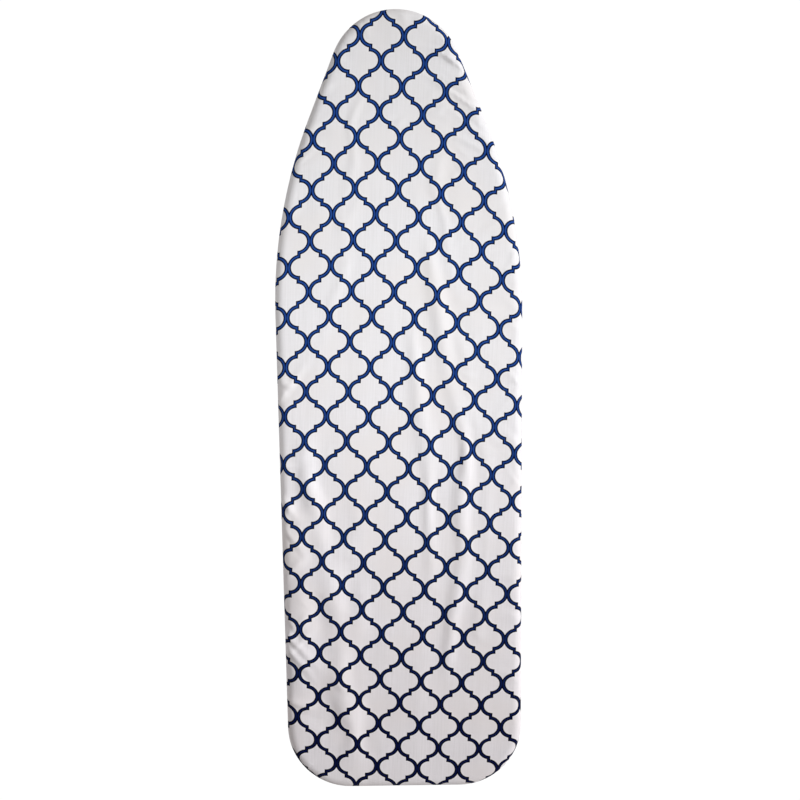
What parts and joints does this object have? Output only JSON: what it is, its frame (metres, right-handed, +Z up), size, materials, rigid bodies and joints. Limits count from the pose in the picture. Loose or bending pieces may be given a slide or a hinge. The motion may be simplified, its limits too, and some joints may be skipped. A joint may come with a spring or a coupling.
{
  "type": "ironing board",
  "caption": "Free-standing ironing board with a padded, cloth-covered steam top on folding crossed tube legs, locked at any height by a lever under the top.",
  "frame": {"origin": "on the floor, under the middle of the top, with the legs open", "axes": "+X along the board towards its rounded nose, +Y across the board to its left, +Z up"},
  "size_m": [1.226, 0.385, 0.8903],
  "materials": {
    "cover_cloth": "white cotton sheeting with a printed navy trellis",
    "binding_tape": "plain woven cotton tape",
    "elastic": "flat braided elastic",
    "felt": "needled felt pad",
    "steel_plate": "thin powder coat on perforated steel",
    "leg_paint": "satin silver-grey powder coat",
    "zinc": "zinc plated",
    "spring_clip": "blackened spring steel",
    "drawn_steel": "bright drawn bar",
    "spring_wire": "drawn spring wire",
    "cap_rubber": "matt moulded rubber",
    "plug_plastic": "moulded polyethylene",
    "nylon": "natural nylon",
    "carriage_plastic": "glass-filled nylon, finely textured",
    "grip_plastic": "soft gloss moulding"
  },
  "bodies": {
    "board": {"cover": "cover_cloth", "hem_binding": "binding_tape", "hem_elastic": "elastic", "pad": "felt", "steam_plate": "steel_plate", "rim_channel": "steel_plate", "cross_ribs": "steel_plate", "hinge_bracket_left": "zinc", "hinge_bracket_right": "zinc", "hinge_pins": "zinc", "hinge_pin_clips": "spring_clip", "guide_rod": "drawn_steel", "guide_bracket_front": "zinc", "guide_bracket_rear": "zinc", "guide_rod_clips": "spring_clip", "bracket_rivets": "zinc"},
    "outer_legs": {"outer_tube_left": "leg_paint", "outer_tube_right": "leg_paint", "outer_tube_plugs": "plug_plastic", "outer_foot_bar": "leg_paint", "outer_foot_cap_left": "cap_rubber", "outer_foot_cap_right": "cap_rubber", "hinge_washers": "nylon", "cross_axle": "zinc", "cross_axle_caps": "plug_plastic", "cross_spacers": "nylon"},
    "inner_legs": {"inner_tube_left": "leg_paint", "inner_tube_right": "leg_paint", "inner_tube_plugs": "plug_plastic", "inner_foot_bar": "leg_paint", "inner_foot_cap_left": "cap_rubber", "inner_foot_cap_right": "cap_rubber", "inner_brace_bar": "leg_paint", "cross_sleeve": "nylon", "carriage_axle": "zinc", "carriage_axle_clips": "spring_clip", "carriage_spacers": "nylon"},
    "carriage": {"carriage_block": "carriage_plastic", "guide_bushes": "nylon", "lever_pin": "zinc", "lock_spring": "spring_wire"},
    "release_lever": {"lock_lever": "zinc", "lever_grip": "grip_plastic"}
  },
  "joints": [
    {"name": "leg_fold", "type": "hinge", "parent": "board", "child": "outer_legs", "pos_m": [-0.48, 0, 0.84133], "axis": [0, -1, 0], "range_deg": [0, 48.5]},
    {"name": "leg_cross", "type": "hinge", "parent": "outer_legs", "child": "inner_legs", "pos_m": [-0.17146, 0, 0.47363], "axis": [0, -1, 0], "range_deg": [-97.5, 0.5]},
    {"name": "carriage_pivot", "type": "hinge", "parent": "inner_legs", "child": "carriage", "pos_m": [0.13708, 0, 0.84133], "axis": [0, -1, 0], "range_deg": [-0.5, 49]},
    {"name": "lever_squeeze", "type": "hinge", "parent": "carriage", "child": "release_lever", "pos_m": [0.10308, 0, 0.83833], "axis": [0, 1, 0], "range_deg": [0, 10], "stiffness_Nm_per_rad": 0.8, "springref_deg": -17.19, "deforming": ["lock_spring"]}
  ],
  "couplings": [
    {"joint": "leg_cross", "follows": "leg_fold", "ratio": -2},
    {"joint": "carriage_pivot", "follows": "leg_fold", "ratio": 1}
  ]
}
